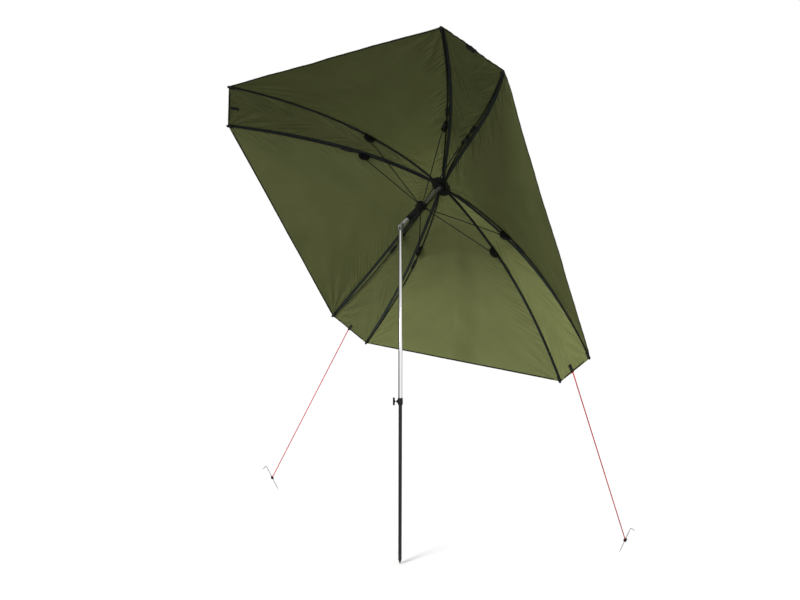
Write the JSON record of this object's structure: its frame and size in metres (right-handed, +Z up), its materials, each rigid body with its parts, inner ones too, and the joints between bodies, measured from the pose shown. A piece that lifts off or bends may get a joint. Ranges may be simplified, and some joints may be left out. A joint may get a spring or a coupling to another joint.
{
  "type": "fishing umbrella",
  "caption": "Tilting fishing umbrella on a two-part spiked pole, with a canopy of sewn gores on folding ribs, a sliding runner, a clamp knob, and pegged guy lines.",
  "frame": {"origin": "tip of the ground spike, on the axis of the pole, at ground level", "axes": "+Z up along the pole; -X towards the wing knob of the height clamp; the head is tilted towards +X +Y, 47.4 degrees round from +X"},
  "size_m": [2.3731, 1.967, 2.6306],
  "materials": {
    "canopy_cloth": "coated olive polyester, dull",
    "lining_cloth": "dark reinforcing cloth",
    "webbing": "woven webbing",
    "fibreglass": "dark glass-fibre rod, satin",
    "black_steel": "black powder coat",
    "black_tube": "black paint, satin",
    "silver_tube": "drawn, bright",
    "grey_casting": "cast, satin",
    "steel": "bright zinc plate",
    "black_plastic": "moulded, satin",
    "green_plastic": "moulded, satin",
    "red_line": "braided cord"
  },
  "bodies": {
    "lower_pole": {"lower_tube": "black_tube", "spike_tip": "black_tube"},
    "upper_pole": {"upper_tube": "silver_tube", "clamp_collar": "black_plastic", "tilt_fork": "grey_casting", "tilt_pin": "steel"},
    "clamp_knob": {"clamp_screw": "steel", "wing_knob": "black_plastic"},
    "head": {"tilt_tongue": "grey_casting", "shaft_tube": "silver_tube", "hub": "black_plastic", "hub_ring": "steel", "top_cap": "black_plastic", "apex_patch": "lining_cloth"},
    "runner": {"runner_crown": "black_plastic", "runner_sleeve": "black_plastic", "runner_ring": "steel"},
    "trigger": {"runner_trigger": "green_plastic"},
    "rib_side_1": {"rib_1": "fibreglass", "rib_joint_1": "black_plastic", "gore_1": "canopy_cloth"},
    "rib_side_2": {"rib_2": "fibreglass", "rib_joint_2": "black_plastic", "gore_2": "canopy_cloth", "guy_tab_back": "webbing", "guy_line_back": "red_line", "line_slider_back": "black_plastic", "peg_back": "steel"},
    "rib_side_3": {"rib_3": "fibreglass", "rib_joint_3": "black_plastic", "gore_3": "canopy_cloth", "peg_tab_high": "webbing"},
    "rib_side_4": {"rib_4": "fibreglass", "rib_joint_4": "black_plastic", "gore_4": "canopy_cloth"},
    "rib_side_5": {"rib_5": "fibreglass", "rib_joint_5": "black_plastic", "gore_5": "canopy_cloth", "closing_strap": "webbing"},
    "rib_side_6": {"rib_6": "fibreglass", "rib_joint_6": "black_plastic", "gore_6": "canopy_cloth"},
    "rib_side_7": {"rib_7": "fibreglass", "rib_joint_7": "black_plastic", "gore_7": "canopy_cloth"},
    "rib_side_8": {"rib_8": "fibreglass", "rib_joint_8": "black_plastic", "gore_8": "canopy_cloth", "guy_tab_side": "webbing", "guy_line_side": "red_line", "line_slider_side": "black_plastic", "peg_side": "steel"},
    "stretcher_side_1": {"stretcher_1": "black_steel"},
    "stretcher_side_2": {"stretcher_2": "black_steel"},
    "stretcher_side_3": {"stretcher_3": "black_steel"},
    "stretcher_side_4": {"stretcher_4": "black_steel"},
    "stretcher_side_5": {"stretcher_5": "black_steel"},
    "stretcher_side_6": {"stretcher_6": "black_steel"},
    "stretcher_side_7": {"stretcher_7": "black_steel"},
    "stretcher_side_8": {"stretcher_8": "black_steel"}
  },
  "joints": [
    {"name": "pole_height", "type": "slide", "parent": "lower_pole", "child": "upper_pole", "axis": [0, 0, 1], "range_m": [-0.78, 0.04]},
    {"name": "clamp_turn", "type": "hinge", "parent": "upper_pole", "child": "clamp_knob", "pos_m": [0, 0, 0.9485], "axis": [-1, 0, 0], "continuous": true},
    {"name": "head_tilt", "type": "hinge", "parent": "upper_pole", "child": "head", "pos_m": [0, 0, 1.9], "axis": [-0.7361, 0.6769, 0], "range_deg": [-56.7, 18.3]},
    {"name": "runner_slide", "type": "slide", "parent": "head", "child": "runner", "axis": [-0.5657, -0.6152, -0.549], "range_m": [0, 0.05], "deforming": ["gore_1", "gore_2", "gore_3", "gore_4", "gore_5", "gore_6", "gore_7", "gore_8"]},
    {"name": "trigger_press", "type": "slide", "parent": "runner", "child": "trigger", "axis": [0.6899, 0.0116, -0.7238], "range_m": [0, 0.0035], "stiffness_N_per_m": 600, "springref_m": -0.001},
    {"name": "rib_fold_1", "type": "hinge", "parent": "head", "child": "rib_side_1", "pos_m": [0.22168, 0.26102, 2.10399], "axis": [-0.8093, 0.2865, 0.5128], "range_deg": [0, 3]},
    {"name": "rib_fold_2", "type": "hinge", "parent": "head", "child": "rib_side_2", "pos_m": [0.21739, 0.26208, 2.10723], "axis": [-0.7451, 0.0962, 0.66], "range_deg": [0, 3]},
    {"name": "rib_fold_3", "type": "hinge", "parent": "head", "child": "rib_side_3", "pos_m": [0.20736, 0.25117, 2.12979], "axis": [0.1582, -0.7344, 0.66], "range_deg": [0, 3]},
    {"name": "rib_fold_4", "type": "hinge", "parent": "head", "child": "rib_side_4", "pos_m": [0.20877, 0.24698, 2.13303], "axis": [0.3532, -0.7824, 0.5128], "range_deg": [0, 3]},
    {"name": "rib_fold_5", "type": "hinge", "parent": "head", "child": "rib_side_5", "pos_m": [0.22864, 0.22871, 2.13303], "axis": [0.8093, -0.2865, -0.5128], "range_deg": [0, 3]},
    {"name": "rib_fold_6", "type": "hinge", "parent": "head", "child": "rib_side_6", "pos_m": [0.23293, 0.22765, 2.12979], "axis": [0.7451, -0.0962, -0.66], "range_deg": [0, 3]},
    {"name": "rib_fold_7", "type": "hinge", "parent": "head", "child": "rib_side_7", "pos_m": [0.24297, 0.23856, 2.10723], "axis": [-0.1582, 0.7344, -0.66], "range_deg": [0, 3]},
    {"name": "rib_fold_8", "type": "hinge", "parent": "head", "child": "rib_side_8", "pos_m": [0.24156, 0.24275, 2.10399], "axis": [-0.3532, 0.7824, -0.5128], "range_deg": [0, 3]},
    {"name": "stretcher_turn_1", "type": "hinge", "parent": "runner", "child": "stretcher_side_1", "pos_m": [0.11048, 0.1419, 1.99506], "axis": [-0.8093, 0.2865, 0.5128], "range_deg": [-3.8, 0]},
    {"name": "stretcher_turn_2", "type": "hinge", "parent": "runner", "child": "stretcher_side_2", "pos_m": [0.1058, 0.14306, 1.99859], "axis": [-0.7451, 0.0962, 0.66], "range_deg": [-3.8, 0]},
    {"name": "stretcher_turn_3", "type": "hinge", "parent": "runner", "child": "stretcher_side_3", "pos_m": [0.09486, 0.13115, 2.02321], "axis": [0.1582, -0.7344, 0.66], "range_deg": [-3.8, 0]},
    {"name": "stretcher_turn_4", "type": "hinge", "parent": "runner", "child": "stretcher_side_4", "pos_m": [0.0964, 0.12659, 2.02674], "axis": [0.3532, -0.7824, 0.5128], "range_deg": [-3.8, 0]},
    {"name": "stretcher_turn_5", "type": "hinge", "parent": "runner", "child": "stretcher_side_5", "pos_m": [0.11808, 0.10665, 2.02674], "axis": [0.8093, -0.2865, -0.5128], "range_deg": [-3.8, 0]},
    {"name": "stretcher_turn_6", "type": "hinge", "parent": "runner", "child": "stretcher_side_6", "pos_m": [0.12276, 0.1055, 2.02321], "axis": [0.7451, -0.0962, -0.66], "range_deg": [-3.8, 0]},
    {"name": "stretcher_turn_7", "type": "hinge", "parent": "runner", "child": "stretcher_side_7", "pos_m": [0.1337, 0.1174, 1.99859], "axis": [-0.1582, 0.7344, -0.66], "range_deg": [-3.8, 0]},
    {"name": "stretcher_turn_8", "type": "hinge", "parent": "runner", "child": "stretcher_side_8", "pos_m": [0.13216, 0.12197, 1.99506], "axis": [-0.3532, 0.7824, -0.5128], "range_deg": [-3.8, 0]}
  ],
  "couplings": [
    {"joint": "rib_fold_1", "follows": "runner_slide", "rad_per_m": 1.0327},
    {"joint": "rib_fold_2", "follows": "runner_slide", "rad_per_m": 1.0327},
    {"joint": "rib_fold_3", "follows": "runner_slide", "rad_per_m": 1.0327},
    {"joint": "rib_fold_4", "follows": "runner_slide", "rad_per_m": 1.0327},
    {"joint": "rib_fold_5", "follows": "runner_slide", "rad_per_m": 1.0327},
    {"joint": "rib_fold_6", "follows": "runner_slide", "rad_per_m": 1.0327},
    {"joint": "rib_fold_7", "follows": "runner_slide", "rad_per_m": 1.0327},
    {"joint": "rib_fold_8", "follows": "runner_slide", "rad_per_m": 1.0327},
    {"joint": "stretcher_turn_1", "follows": "runner_slide", "rad_per_m": -1.3139},
    {"joint": "stretcher_turn_2", "follows": "runner_slide", "rad_per_m": -1.3139},
    {"joint": "stretcher_turn_3", "follows": "runner_slide", "rad_per_m": -1.3139},
    {"joint": "stretcher_turn_4", "follows": "runner_slide", "rad_per_m": -1.3139},
    {"joint": "stretcher_turn_5", "follows": "runner_slide", "rad_per_m": -1.3139},
    {"joint": "stretcher_turn_6", "follows": "runner_slide", "rad_per_m": -1.3139},
    {"joint": "stretcher_turn_7", "follows": "runner_slide", "rad_per_m": -1.3139},
    {"joint": "stretcher_turn_8", "follows": "runner_slide", "rad_per_m": -1.3139}
  ]
}
